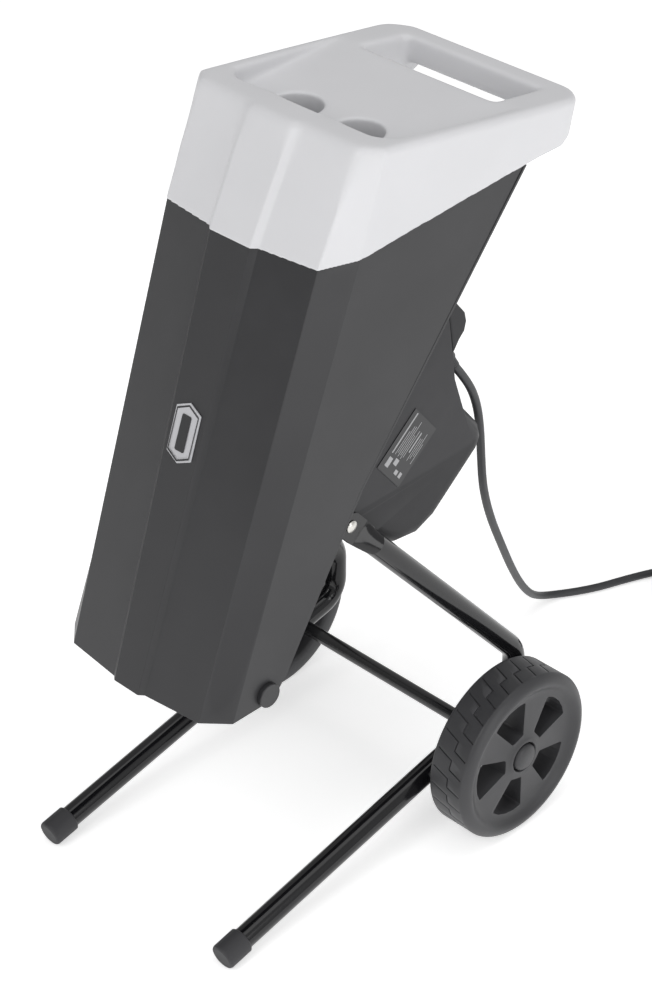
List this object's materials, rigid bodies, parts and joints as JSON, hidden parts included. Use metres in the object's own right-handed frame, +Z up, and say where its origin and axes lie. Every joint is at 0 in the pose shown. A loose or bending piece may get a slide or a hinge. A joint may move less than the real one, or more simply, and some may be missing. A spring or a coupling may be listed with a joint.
{
  "type": "garden shredder",
  "caption": "Leaning box hopper with a light feed cap, a rear motor housing with a cutting disc, a bent tube frame, two wheels and a mains lead.",
  "frame": {"origin": "on the ground, under the middle of the machine", "axes": "+Z up, the front of the hopper faces -Y, +X is the machine's side seen on the right from the front"},
  "size_m": [0.4328, 0.9626, 0.857],
  "materials": {
    "shell_plastic": "fine matt grain",
    "housing_plastic": "fine matt grain",
    "cap_plastic": "satin grain",
    "badge_film": "satin film",
    "label_film": "satin film",
    "black_paint": "gloss",
    "foot_rubber": "matt",
    "wheel_plastic": "matt",
    "zinc_steel": "zinc plated",
    "axle_paint": "gloss",
    "knob_plastic": "matt",
    "tool_steel": "ground",
    "alloy_cast": "cast",
    "copper": "bright",
    "fan_plastic": "matt",
    "green_button": "satin",
    "red_button": "satin",
    "black_button": "satin",
    "lead_rubber": "matt"
  },
  "bodies": {
    "chassis": {"rear_wall": "shell_plastic", "motor_housing": "housing_plastic", "switch_cover": "housing_plastic", "rating_label": "label_film", "frame_tube_right": "black_paint", "frame_tube_left": "black_paint", "foot_cap_right": "foot_rubber", "foot_cap_left": "foot_rubber", "frame_bolts": "zinc_steel", "frame_nuts": "zinc_steel", "housing_screws": "zinc_steel", "wheel_retainers": "zinc_steel", "axle_spacers": "zinc_steel", "plug_pins": "zinc_steel", "axle": "axle_paint", "lock_bush": "knob_plastic", "hinge_pins": "knob_plastic", "hinge_blocks": "knob_plastic", "drive_bearing": "tool_steel", "tail_bearing": "tool_steel", "stator": "tool_steel", "bearing_bracket": "alloy_cast", "brushes": "copper", "switch_block": "fan_plastic", "mains_lead": "lead_rubber", "lead_tail": "lead_rubber", "lead_coil": "lead_rubber", "lead_sleeve": "lead_rubber", "cable_gland": "lead_rubber", "plug": "lead_rubber", "coil_tie": "lead_rubber"},
    "hopper": {"hopper_shell": "shell_plastic", "hopper_cap": "cap_plastic", "feed_chute": "cap_plastic", "badge_plate": "badge_film", "latch_bar": "zinc_steel"},
    "rotor": {"blade_disc": "tool_steel", "cutting_blades": "tool_steel", "blade_screws": "zinc_steel", "chip_paddles": "tool_steel", "disc_nut": "zinc_steel", "motor_shaft": "tool_steel", "rotor_core": "tool_steel", "commutator": "copper", "cooling_fan": "fan_plastic"},
    "wheel_right": {"wheel_right": "wheel_plastic", "hub_cap_right": "wheel_plastic"},
    "wheel_left": {"wheel_left": "wheel_plastic", "hub_cap_left": "wheel_plastic"},
    "lock": {"lock_knob": "knob_plastic", "lock_screw": "zinc_steel"},
    "on_button": {"on_button": "green_button"},
    "off_button": {"off_button": "red_button"},
    "reset_button": {"reset_button": "black_button"}
  },
  "joints": [
    {"name": "hopper_hinge", "type": "hinge", "parent": "chassis", "child": "hopper", "pos_m": [0, -0.1769, 0.3028], "axis": [1, 0, 0], "range_deg": [0, 70]},
    {"name": "rotor_spin", "type": "hinge", "parent": "chassis", "child": "rotor", "pos_m": [0, -0.0083, 0.533], "axis": [0, 0.6361, -0.7716], "continuous": true},
    {"name": "wheel_right_spin", "type": "hinge", "parent": "chassis", "child": "wheel_right", "pos_m": [0.18, 0.1225, 0.1], "axis": [1, 0, 0], "continuous": true},
    {"name": "wheel_left_spin", "type": "hinge", "parent": "chassis", "child": "wheel_left", "pos_m": [-0.18, 0.1225, 0.1], "axis": [1, 0, 0], "continuous": true},
    {"name": "lock_turn", "type": "hinge", "parent": "chassis", "child": "lock", "pos_m": [0, 0.14087, 0.70565], "axis": [0, 0.77, -0.6381], "continuous": true},
    {"name": "on_button_press", "type": "slide", "parent": "chassis", "child": "on_button", "axis": [0, -0.7716, -0.6361], "range_m": [0, 0.003], "stiffness_N_per_m": 300, "springref_m": -0.001},
    {"name": "off_button_press", "type": "slide", "parent": "chassis", "child": "off_button", "axis": [0, -0.7716, -0.6361], "range_m": [0, 0.003], "stiffness_N_per_m": 300, "springref_m": -0.001},
    {"name": "reset_button_press", "type": "slide", "parent": "chassis", "child": "reset_button", "axis": [0, -0.7716, -0.6361], "range_m": [0, 0.003], "stiffness_N_per_m": 300, "springref_m": -0.001}
  ]
}
